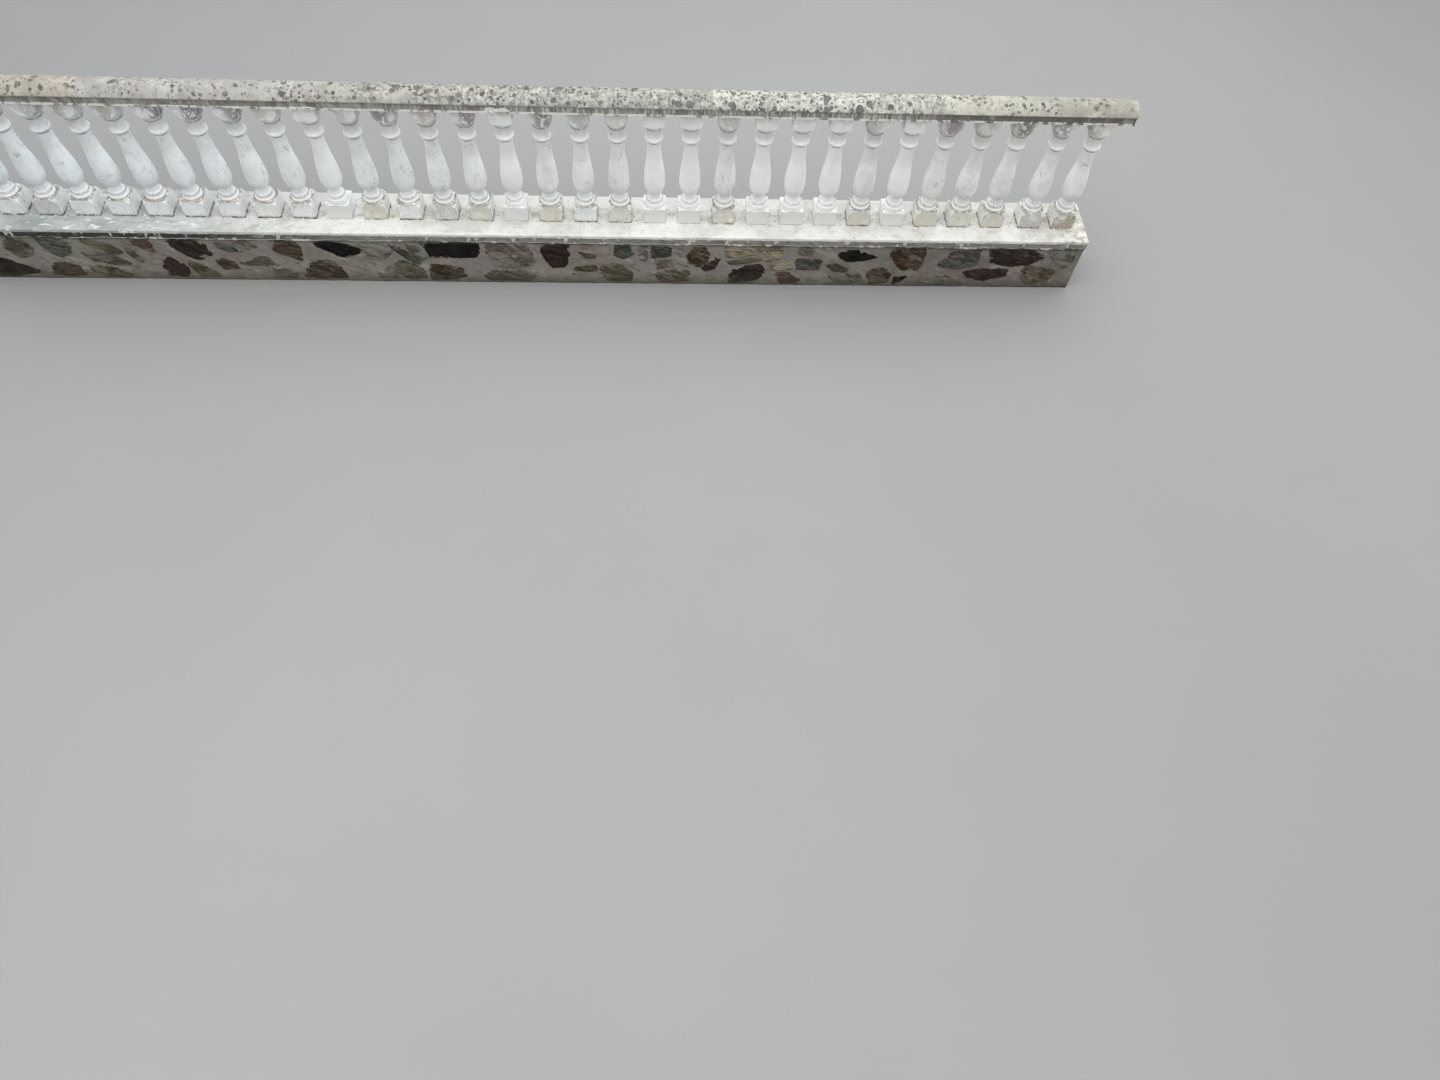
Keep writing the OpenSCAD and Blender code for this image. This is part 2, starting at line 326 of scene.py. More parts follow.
def ring_and_ledge(s):
    """Painted highlight on the upward faces of the ring and the block's ledge, painted shade where the ring
    meets the block and low on an old ring, and soil on the ledge.
    """
    ring_top_highlight = s.within(s.height, s.block_top, RING_TOP, 0.004)
    # Painted highlight on the ring's upward faces
    s.coat((0.88, 0.88, 0.84), 0.75, ring_top_highlight, s.rise(s.facing_z, 0.15, 0.6))
    ledge = s.times(s.rise(s.radius, RING_RADIUS - 0.001, RING_RADIUS), s.rise(s.facing_z, 0.35, 0.75))
    ledge = s.times(ledge, s.rise(s.height, GROOVE, GROOVE - 0.01))
    # Painted highlight on the ledge's upward face
    s.coat((0.85, 0.85, 0.81), 0.5, ledge)
    contact_shade = s.within(s.height, s.block_top - 0.006, s.block_top + 0.003, 0.002)
    contact_shade = s.times(s.near(s.radius, RING_RADIUS, 0.003), contact_shade)
    soil = s.times(ledge, s.patches(0.012, 6.7, 0.44, 0.6))
    soil = s.times(soil, s.rise(s.height, s.block_top - 0.01, s.block_top - 0.004))
    # Painted shade in the crease at the ring's foot, and soil on the ledge
    s.coat((0.22, 0.2, 0.17), s.by_age(0.4, 0.66), s.either(contact_shade, soil))
    if not s.fresh:
        wavy = s.add(s.height, s.times(s.cloud(0.02, 1.3), 0.012))
        brow = s.near(wavy, s.block_top + 0.005, 0.004)
        # A dark ragged band low on an old ring: painted shade under its bulge, broken into patches
        s.coat((0.2, 0.18, 0.155), 0.8, brow, s.patches(0.03, 7.3, 0.42, 0.52))


def joint_dirt_and_shade_on_sill(s):
    """A dark ragged line at the foot's joint with the sill, of dirt and painted contact shade, with splashed
    dirt just above it.
    """
    splash = s.add(s.height, s.times(s.cloud(0.02, 8.3), -0.03))
    s.coat((0.34, 0.31, 0.25), s.by_age(0.15, 0.4), s.rise(splash, 0.012, -0.014))
    joint = s.add(s.height, s.times(s.cloud(0.01, 9.1, 6), s.by_age(-0.01, -0.02)))
    broken = s.patches(0.026, 3.3, 0.4, 0.5, 5)
    # Dirt in the joint and painted contact shade
    s.coat((0.09, 0.08, 0.065), s.by_age(0.75, 0.9), s.rise(joint, -0.001, -0.003), broken)


def foot_front(s):
    """The front's stain, a thin line of dirt round it, painted shade over a recast block's front, and cracks
    in an old one.
    """
    if s.n in FOOT_STAINS:
        tone, strength = FOOT_STAINS[s.n]
        low = s.rise(s.height, s.block_top + 0.004, s.block_top - 0.012)
        patch = s.patches(0.055, 1.9, 0.28, 0.5, 4, EVEN, 0.6)
        s.coat(STAIN_TONES[tone], strength, low, s.front, patch)
    sides = s.near(s.math("ABSOLUTE", s.across), FOOT_HALF - 0.001, 0.0034)
    outline = s.either(sides, s.near(s.height, s.block_top - 0.0015, 0.0035))
    outline = s.times(outline, s.rise(s.height, s.block_top + 0.004, s.block_top))
    broken = s.patches(0.035, 4.7, 0.34, 0.52)
    s.coat((0.3, 0.285, 0.25), s.by_age(0.68, 0.8), outline, s.front, broken)
    if s.fresh:
        # Painted shade over a recast block's front face
        s.coat((0.6, 0.6, 0.575), 0.62, s.rise(s.height, s.block_top, s.block_top - 0.01), s.front)
    else:
        cracks = s.times(s.veins(0.05, 0.013, 2.9, 1), s.rise(s.height, 0.1, 0.09))
        s.coat((0.16, 0.14, 0.12), 0.65, cracks, s.patches(0.045, 5.7, 0.42, 0.56))


def neck_shade_and_highlight(s):
    """Painted highlight on the neck ring, between painted shade in the hollow and painted shade down the
    neck.
    """
    hollow = s.within(s.height, NECK_RING + 0.03, COLLAR_FOOT + 0.003, 0.01)
    # Painted shade in the hollow under the collar
    s.coat((0.46, 0.45, 0.41), 0.34, hollow)
    ring = s.within(s.height, NECK_RING + 0.003, NECK_RING + 0.018, 0.004)
    # Painted highlight on the neck ring
    s.coat((0.88, 0.88, 0.855), 0.28, ring)
    # Painted shade down the neck under the ring
    s.coat((0.46, 0.46, 0.44), 0.14, s.within(s.height, 0.4, NECK_RING - 0.004, 0.06))


def head_dirt_and_shade(s):
    """Grime on the head block, darkened further as painted shade of the handrail, this one's stain, and
    painted shade with dirt under the handrail.
    """
    grime_and_shade = s.by_age(0.45, 0.38 if s.n < 13 else 0.55)
    upper = s.rise(s.height, COLLAR_FOOT + 0.009, HEAD_TOP - 0.006)
    # Grime, and painted shade of the handrail over the head
    s.coat((0.44, 0.42, 0.37), grime_and_shade, upper, s.patches(0.03, 4.9, 0.28, 0.62))
    if s.n in HEAD_STAINS:
        tone, side, strength = HEAD_STAINS[s.n]
        away = s.math("ABSOLUTE", s.less(s.across, side * HEAD_HALF))
        head = s.times(s.rise(s.height, COLLAR_FOOT + 0.005, 0.58), s.rise(away, 0.06, 0.016))
        drips = s.patches(0.03, 3.7, 0.44, 0.48, 5, (1, 1, 1.3), 0.8)
        s.coat(STAIN_TONES[tone], strength, head, drips)
    shade_and_dirt_under_rail = s.rise(s.height, HEAD_TOP - 0.016, HEAD_TOP)
    # Painted shade under the handrail, broken into patches of dirt
    s.coat((0.26, 0.25, 0.22), s.by_age(0.35, 0.6), shade_and_dirt_under_rail, s.patches(0.018, 6.1, 0.34, 0.6))


def cast_relief(s):
    """Bump: slight on a recast baluster, rougher and pitted on an old one."""
    mottle = s.times(s.cloud(0.02, 1.7, 6), s.by_age(0.5, 1))
    body = s.add(mottle, s.times(s.cloud(0.0022, 1, 3), 0.2))
    pits = s.times(s.patches(0.0065, 2.1, 0.62, 0.74, 3), s.by_age(0.2, 0.6))
    s.relief(s.less(body, pits), s.by_age(0.0008, 0.0016))


# The handrail units differ a little in tone
RAIL_TONES = {
    1: (0.345, 0.329, 0.27), 2: (0.35, 0.34, 0.312), 3: (0.333, 0.324, 0.286),
    4: (0.323, 0.316, 0.283), 5: (0.43, 0.423, 0.378), 6: (0.399, 0.387, 0.333),
}


def rail_stone(k):
    """Cream-grey stone, spotted with lichen and darker down the handrail's face."""
    s = Shade(f"rail_stone_{k}", 0.82)
    tone = RAIL_TONES[k]
    pale = [c * 1.3 for c in tone]
    dull = [c * 0.72 for c in tone]
    mottle = s.cloud(0.028, k * 2.9, 6)
    s.colour = s.mix(s.patches(0.16, k * 4.3, 0.36, 0.66), pale, tone)
    s.coat(dull, 0.75, s.rise(mottle, 0.46, 0.7))
    s.coat(dull, 0.45, s.patches(0.0075, 1.4, 0.5, 0.66))
    pink = s.patches(0.11, 3.3, 0.56, 0.68, 3)
    s.coat((0.36, 0.29, 0.29), 0.42, pink, s.rise(s.x, -0.6, -1.4))
    worn_end = s.patches(0.1, 6.6, 0.4, 0.56)
    s.coat((0.262, 0.246, 0.214), 0.7, worn_end, s.rise(s.x, 2.3, 2.7))
    crust = rail_lichen(s, mottle)
    rail_face_grime(s, k)
    rail_edges(s, mottle)
    fine = s.times(s.cloud(0.003, k, 3), 0.35)
    s.relief(s.add(s.add(mottle, s.times(crust, 0.5)), fine), 0.0026)
    return s.finish()


# Size, smallest radius, shift, and where the cover of lichen starts and is full
CRUSTS = ((0.05, -0.1, 0, 0.44, 0.56), (0.031, -0.14, 3, 0.4, 0.54), (0.017, -0.22, 5, 0.36, 0.56))


def rail_lichen(s, mottle):
    """Round crusts, thickest right of the middle, pale and dark; gives the dark ones."""
    thick = s.times(s.rise(s.x, -1.2, -0.2), s.rise(s.x, 2.6, 1.4))
    region = s.add(s.times(thick, 0.22), s.cloud(0.16, 8.8, 3))
    film = s.patches(0.02, 4.7, 0.47, 0.57, 5, EVEN, 0.8)
    s.coat((0.15, 0.152, 0.14), 0.68, film, s.rise(region, 0.54, 0.68))
    pale = s.either(s.dots(0.03, 0, 0.5, 11), s.dots(0.018, 0, 0.46, 14))
    s.coat((0.6, 0.6, 0.55), 0.42, pale, s.rise(region, 0.5, 0.64))
    crust = 0
    for size, small, shift, start, end in CRUSTS:
        crust = s.either(crust, s.times(s.dots(size, small, 0.46, shift), s.rise(region, start, end)))
    crust_tone = s.mix(s.rise(mottle, 0.4, 0.62), (0.07, 0.07, 0.064), (0.15, 0.15, 0.138))
    s.coat(crust_tone, 0.9, crust)
    return crust


def rail_face_grime(s, k):
    """A grimy face under the nose, darker at the right, with pale runs of lime."""
    face = s.rise(s.less(s.z, RAIL_LOW[2]), NOSE_FOOT + 0.006, NOSE_FOOT)
    grime = s.mix(s.patches(0.05, k * 7.1, 0.36, 0.64, 5), (0.3, 0.29, 0.26), (0.16, 0.155, 0.14))
    s.coat(grime, 0.92, face)
    s.coat((0.115, 0.11, 0.096), 0.72, face, s.rise(s.x, 1.6, 2.3))
    streaked = s.times(s.rise(s.x, -0.6, -0.1), s.rise(s.x, 2.3, 1.7))
    amount = s.add(s.rise(s.x, 2.2, 1.6), s.times(streaked, 1.5))
    runs = s.patches(0.012, k * 5.9, 0.49, 0.61, 4, (1, 1, 7), 0.4)
    s.coat((0.6, 0.6, 0.56), 0.32, runs, amount, face)
    broad_runs = s.patches(0.05, k * 3.1, 0.55, 0.68, 5, (1, 1, 2.5), 0.5)
    s.coat((0.46, 0.45, 0.41), 0.55, broad_runs, face)


def rail_edges(s, mottle):
    """A painted shadow line under the nose, a pale lip under the face, painted shade in the crease above the
    lip, and dirt on the nose's foot.
    """
    level = s.less(s.z, RAIL_LOW[2])
    # Painted shadow line under the nose
    s.coat((0.07, 0.066, 0.06), 0.8, s.near(level, NOSE_FOOT - 0.001, 0.004))
    lip = s.rise(level, LIP_TOP + 0.0015, LIP_TOP - 0.0015)
    s.coat((0.8, 0.79, 0.74), 0.86, lip, s.patches(0.032, 2.2, 0.41, 0.5, 5))
    # Painted shade in the crease above the lip
    s.coat((0.09, 0.085, 0.078), 0.6, s.near(level, LIP_TOP, 0.0025), s.rise(s.facing_z, 0.5, 0.1))
    s.coat((0.24, 0.235, 0.21), 0.6, s.near(level, NOSE_FOOT + 0.0065, 0.004), s.rise(mottle, 0.5, 0.62))


def joint_mortar():
    """Grey mortar in the joints of the handrail."""
    s = Shade("joint_mortar", 0.9)
    mottle = s.cloud(0.012, 1, 5)
    s.colour = s.mix(s.rise(mottle, 0.35, 0.65), (0.22, 0.21, 0.19), (0.42, 0.4, 0.36))
    s.relief(mottle, 0.002)
    return s.finish()


def sill_paint():
    """White paint on a screed, greyer towards the left, rubbed and dirtied."""
    s = Shade("sill_paint", 0.68)
    broad = s.cloud(0.22, 2)
    mottle = s.cloud(0.035, 6, 6)
    from_left = s.rise(s.x, -2.3, -0.9)
    white = s.mix(from_left, (0.5, 0.525, 0.52), (0.79, 0.79, 0.75))
    dull = s.mix(from_left, (0.33, 0.355, 0.35), (0.62, 0.62, 0.58))
    s.colour = s.mix(s.rise(broad, 0.4, 0.68), white, dull)
    s.coat(dull, 0.5, s.rise(mottle, 0.5, 0.7))
    s.coat((0.44, 0.42, 0.37), 0.6, s.rise(mottle, 0.58, 0.66), s.rise(broad, 0.46, 0.6))
    sill_smears(s)
    sill_between_feet(s)
    sill_soil(s)
    sill_edge(s)
    s.relief(s.add(s.times(mottle, 0.8), s.times(s.cloud(0.007, 9), 0.4)), 0.0025)
    return s.finish()


def sill_smears(s):
    """Grey smears, strongest at the left, where white daubs lie over them."""
    left = s.rise(s.x, -0.6, -1.8)
    smears = s.patches(0.045, 5, 0.56, 0.66, 5, (3, 1, 1), 0.5)
    s.coat((0.34, 0.345, 0.33), smears, s.add(0.25, s.times(left, 0.45)))
    daubs = s.patches(0.03, 25, 0.57, 0.63, 5, (2, 1, 1), 0.6)
    s.coat((0.85, 0.86, 0.85), 0.85, daubs, left)


def sill_between_feet(s):
    """Dirt and crumbs between the feet, a greyer strip behind them, and scuffs."""
    trodden = s.patches(0.05, 31, 0.48, 0.62, 6)
    s.coat((0.38, 0.375, 0.34), 0.65, trodden, s.near(s.y, RAIL_Y, 0.085))
    crumbs = s.either(s.dots(0.021, -0.2, 0.36, 21), s.dots(0.012, -0.2, 0.36, 23))
    crumbs = s.times(crumbs, s.near(s.y, RAIL_Y - 0.01, 0.1))
    s.coat((0.27, 0.26, 0.23), 0.8, crumbs, s.patches(0.07, 33, 0.41, 0.53))
    s.coat((0.44, 0.44, 0.41), 0.34, s.rise(s.y, 0.015, 0.07))
    scuffs = s.veins(0.06, 0.012, 17, 1.4, (2, 1, 1))
    s.coat((0.36, 0.35, 0.32), 0.5, scuffs, s.patches(0.1, 19, 0.46, 0.56))


def sill_soil(s):
    """Soil at the right end, and dark specks all along."""
    s.coat((0.38, 0.31, 0.23), 0.42, s.rise(s.x, 2.2, 2.8), s.patches(0.06, 7, 0.46, 0.62, 5))
    s.coat((0.24, 0.17, 0.105), 0.5, s.rise(s.x, 2.7, 2.9), s.patches(0.035, 27, 0.5, 0.58, 5))
    specks = s.either(s.patches(0.009, 3, 0.665, 0.7, 2), s.patches(0.018, 13, 0.7, 0.73, 3))
    s.coat((0.14, 0.12, 0.1), 0.75, specks)


def sill_edge(s):
    """The lower edge is worn to the mortar, and the underside was never painted."""
    low = s.rise(s.less(s.z, SILL_LOW[2]), 0.01, 0.002)
    s.coat((0.3, 0.28, 0.25), 0.7, low, s.patches(0.03, 4, 0.4, 0.56, 5))
    s.coat((0.22, 0.21, 0.19), 0.9, s.rise(s.facing_z, -0.5, -0.9))


def bed_mortar():
    """Grey mortar under the sill, with white paint run down to its ragged edge."""
    s = Shade("bed_mortar", 0.9)
    mottle = s.cloud(0.03, 5, 6)
    s.colour = s.mix(s.patches(0.15, 3, 0.36, 0.66), (0.27, 0.26, 0.235), (0.19, 0.18, 0.16))
    s.coat((0.11, 0.104, 0.092), 0.7, s.rise(mottle, 0.48, 0.66))
    s.coat((0.031, 0.031, 0.027), 0.92, s.rise(s.x, -0.8, -1.8))
    s.coat((0.52, 0.51, 0.47), 0.55, s.patches(0.022, 4, 0.58, 0.66, 5, (4, 1, 1)))
    drip_length = s.times(s.patches(0.045, 6, 0.56, 0.74, 4, (1, 1, 4)), 0.05)
    down = s.less(SILL_LOW[2], s.z)
    s.coat((0.66, 0.65, 0.61), 0.75, s.rise(s.less(drip_length, down), -0.002, 0.004))
    brim = s.rise(s.attribute("brim", "Fac"), 0.05, 0.4)
    left_on = s.add(s.cloud(0.05, 8, 5), s.times(s.cloud(0.5, 9, 2), 0.6))
    s.coat((0.72, 0.71, 0.67), 0.9, brim, s.rise(left_on, 0.68, 0.78))
    s.relief(mottle, 0.004)
    return s.finish()


# How the trowel left the wall's mortar: the detail, stretch, warp and lean of a cloud
TROWELLED = (5, (5, 5, 1), 0.6, 24)


def mortar_tone(s):
    """Brown-grey mortar, smeared wide and muddier towards the right."""
    tone = s.mix(s.patches(0.14, 1, 0.36, 0.66), (0.255, 0.237, 0.205), (0.19, 0.175, 0.149))
    tone = s.over(tone, (0.24, 0.214, 0.202), 0.6, s.patches(0.2, 14, 0.5, 0.62))
    tone = s.over(tone, (0.125, 0.114, 0.094), 0.45, s.patches(0.022, 5, 0.54, 0.66, *TROWELLED))
    sweep = s.patches(0.02, 11, 0.56, 0.66, 5, (6, 6, 1), 0.8, 28)
    tone = s.over(tone, (0.41, 0.385, 0.34), 0.5, sweep)
    tone = s.over(tone, (0.125, 0.113, 0.094), 0.5, s.patches(0.035, 4, 0.52, 0.68, 6))
    muddy = s.patches(0.1, 29, 0.34, 0.56, 5)
    return s.over(tone, (0.12, 0.102, 0.086), 0.55, muddy, s.rise(s.x, 1.1, 2.4))


def wall_damp_and_shade(s):
    """Splashed soil and damp along the wall's foot, and shade under the bed."""
    ragged = s.cloud(0.05, 3)
    s.coat((0.07, 0.06, 0.045), 0.65, s.rise(s.add(s.z, s.times(ragged, -0.1)), 0.03, -0.05))
    s.coat((0.085, 0.088, 0.045), 0.35, s.patches(0.08, 21, 0.58, 0.7, 5), s.rise(s.z, 0.2, 0.05))
    # Painted shade under the bed's overhang
    s.coat((0.045, 0.04, 0.034), 0.6, s.rise(s.add(s.z, s.times(ragged, 0.02)), 0.276, 0.292))


def wall_mortar():
    """The wall's mortar with dark pockets and specks."""
    s = Shade("wall_mortar", 0.92)
    s.colour = mortar_tone(s)
    pockets = s.patches(0.026, 17, 0.62, 0.67, 5, (2.5, 2.5, 1), 1, 20)
    s.coat((0.036, 0.031, 0.026), 0.75, pockets)
    s.coat((0.045, 0.04, 0.034), 0.6, s.patches(0.008, 7, 0.67, 0.73, 2))
    wall_damp_and_shade(s)
    rough = s.less(s.cloud(0.035, 4, 6), s.times(s.cloud(0.022, 5, *TROWELLED), 0.4))
    s.relief(s.add(rough, s.times(s.cloud(0.006, 2), 0.3)), 0.005)
    return s.finish()


def rubble_stone():
    """Layered field stone in each stone's own tone, with mortar over its rim."""
    s = Shade("rubble_stone", 0.9, 0.1)
    tone = s.attribute("tone", "Color")
    lay = s.attribute("lay", "Vector")
    pale_stone = s.rise(s.split(tone)[0], 0.02, 0.075)
    mottle = s.cloud(0.016, 4, 6)
    s.colour = tone
    darker = s.mix(1, tone, (0.36, 0.33, 0.3), "MULTIPLY")
    s.coat(darker, 0.8, s.patches(0.05, 2, 0.46, 0.56, 5, (2, 2, 1), 0.8, 25))
    light = s.patches(0.04, 22, 0.56, 0.64, 5, (2.5, 2.5, 1), 0.8, 25)
    s.coat((0.21, 0.195, 0.16), 0.6, light, pale_stone)
    bands = s.cloud(0.01, 6, 4, (7, 1, 1), 0.5, 0, lay)
    s.coat((0.022, 0.019, 0.015), 0.65, s.rise(bands, 0.53, 0.6))
    pale_bands = s.patches(0.008, 9, 0.58, 0.66, 4, (9, 1, 1), 0.5, 0, lay)
    s.coat((0.24, 0.22, 0.18), 0.5, pale_bands, pale_stone)
    s.coat((0.18, 0.166, 0.138), s.rise(mottle, 0.6, 0.7), s.add(0.15, s.times(pale_stone, 0.45)))
    cracks = s.near(s.cloud(0.07, 12, 2, (2, 1, 1), 1, 0, lay), 0.5, 0.01)
    s.coat((0.02, 0.017, 0.014), 0.85, cracks, s.patches(0.12, 15, 0.46, 0.56))
    mortar_over_rim(s)
    wall_damp_and_shade(s)
    rough = s.add(s.times(bands, 0.9), s.add(mottle, s.times(s.cloud(0.004, 3), 0.4)))
    s.relief(rough, 0.006)
    return s.finish()


def mortar_over_rim(s):
    """Mortar smeared over a stone's rim, with a painted shadow line where it ends."""
    uneven = s.times(s.cloud(0.036, 8, 6, (1.8, 1.8, 1), 0.9, 22), 1.5)
    smear = s.add(s.attribute("rim", "Fac"), uneven)
    # Painted shadow line where the mortar ends, broken into patches
    s.coat((0.022, 0.019, 0.015), 0.8, s.near(smear, 1.64, 0.06), s.patches(0.05, 18, 0.42, 0.54))
    s.coat(mortar_tone(s), s.rise(smear, 1.63, 1.72))


def white_mortar():
    """Fresh white mortar daubed on the old handrail."""
    s = Shade("white_mortar", 0.85)
    mottle = s.cloud(0.012, 4, 5)
    s.colour = s.mix(s.rise(mottle, 0.4, 0.65), (0.8, 0.8, 0.76), (0.6, 0.59, 0.54))
    s.relief(mottle, 0.003)
    return s.finish()


def foot_dirt():
    """Pale crumbled mortar along a baluster's foot, dark where soil lies on it."""
    s = Shade("foot_dirt", 0.95)
    mottle = s.cloud(0.008, 5, 5)
    s.colour = s.mix(s.rise(mottle, 0.4, 0.6), (0.74, 0.73, 0.69), (0.52, 0.5, 0.45))
    soil = s.add(s.cloud(0.026, 8, 5), s.times(mottle, 0.5))
    s.coat((0.085, 0.075, 0.06), s.rise(soil, 0.66, 0.76))
    s.relief(mottle, 0.002)
    return s.finish()


def clamp(value, low, high):
    return max(low, min(high, value))


def turned(u, v, angle):
    return u * math.cos(angle) - v * math.sin(angle), u * math.sin(angle) + v * math.cos(angle)


def wave(place, size, seed):
    """Smooth noise from -1 to 1 with features of about size metres."""
    x, y, z = place
    return noise.fractal(Vector((x / size + seed, y / size - seed, z / size)), 0.8, 2.1, 3)


def waves(base, place, *parts):
    """A base value plus waves, each given by its height, size and seed."""
    for height, size, seed in parts:
        base += height * wave(place, size, seed)
    return base


def new_mesh(name, points, faces, material):
    mesh = bpy.data.meshes.new(name)
    mesh.from_pydata(points, [], faces)
    mesh.materials.append(material)
    return mesh


def new_object(name, data):
    """An object of the scene, made of a mesh, a camera or a light."""
    thing = bpy.data.objects.new(name, data)
    bpy.context.scene.collection.objects.link(thing)
    return thing


def new_piece(name, points, faces, material, slot):
    """A smooth mesh piece of the object, riding on its one body."""
    mesh = new_mesh(name, points, faces, material)
    mesh.validate()
    mesh.shade_smooth()
    piece = new_object(name, mesh)
    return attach(piece, "root")


def set_attribute(piece, name, kind, field, values):
    """Stores one value for each point of a piece's mesh."""
    attribute = piece.data.attributes.new(name, kind, "POINT")
    attribute.data.foreach_set(field, values)


def box_grid(low, high, cells, shape):
    """The surface of a box in small quads; shape(point) gives a corner's place."""
    points = []
    index = {}

    def corner(key):
        if key not in index:
            index[key] = len(points)
            at = [a + (b - a) * k / n for a, b, k, n in zip(low, high, key, cells)]
            points.append(shape(Vector(at)))
        return index[key]

    faces = []
    for axis, u, v in ((0, 1, 2), (1, 2, 0), (2, 0, 1)):
        for side, i, j in product((0, cells[axis]), range(cells[u]), range(cells[v])):
            quad = []
            for du, dv in ((0, 0), (1, 0), (1, 1), (0, 1)):
                key = {axis: side, u: i + du, v: j + dv}
                quad.append(corner((key[0], key[1], key[2])))
            faces.append(quad if side else quad[::-1])
    return points, faces


def sunk_end(place, base, wavy, least, most):
    """Where a point of an uneven end face lies along the run."""
    return place[0] - math.copysign(clamp(waves(base, place, wavy), least, most), place[0])


WALL_CELL = 0.008
WALL_DEEP_CELLS = 14
WALL_FACE = 0.1425
WALL_SWELL = 0.004


def wall_shape(point):
    """The long faces swell and sink a little; the ends only sink."""
    x, y, z = point
    if abs(y) > WALL_HIGH[1] - 0.002:
        swell = waves(0, point, (0.0022, 0.11, 3), (0.0012, 0.03, 9))
        hollow = 0.0015 * max(0, wave(point, 0.05, 5))
        y = math.copysign(WALL_FACE + clamp(swell - hollow, -WALL_SWELL, WALL_SWELL), y)
    if abs(x) > HALF_RUN - 0.001:
        x = sunk_end((x, y, z), 0.005, (0.001, 0.06, 6), 0.004, 0.006)
    return x, y, z


def build_wall(material):
    """The mortar face that the stones lie in."""
    rows = int((WALL_HIGH[2] - WALL_LOW[2]) / WALL_CELL)
    cells = (int(2 * HALF_RUN / WALL_CELL), WALL_DEEP_CELLS, rows)
    grid = box_grid(WALL_LOW, WALL_HIGH, cells, wall_shape)
    piece = new_piece("wall_mass", *grid, material, "rubble_masonry")
    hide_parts("rubble_wall")


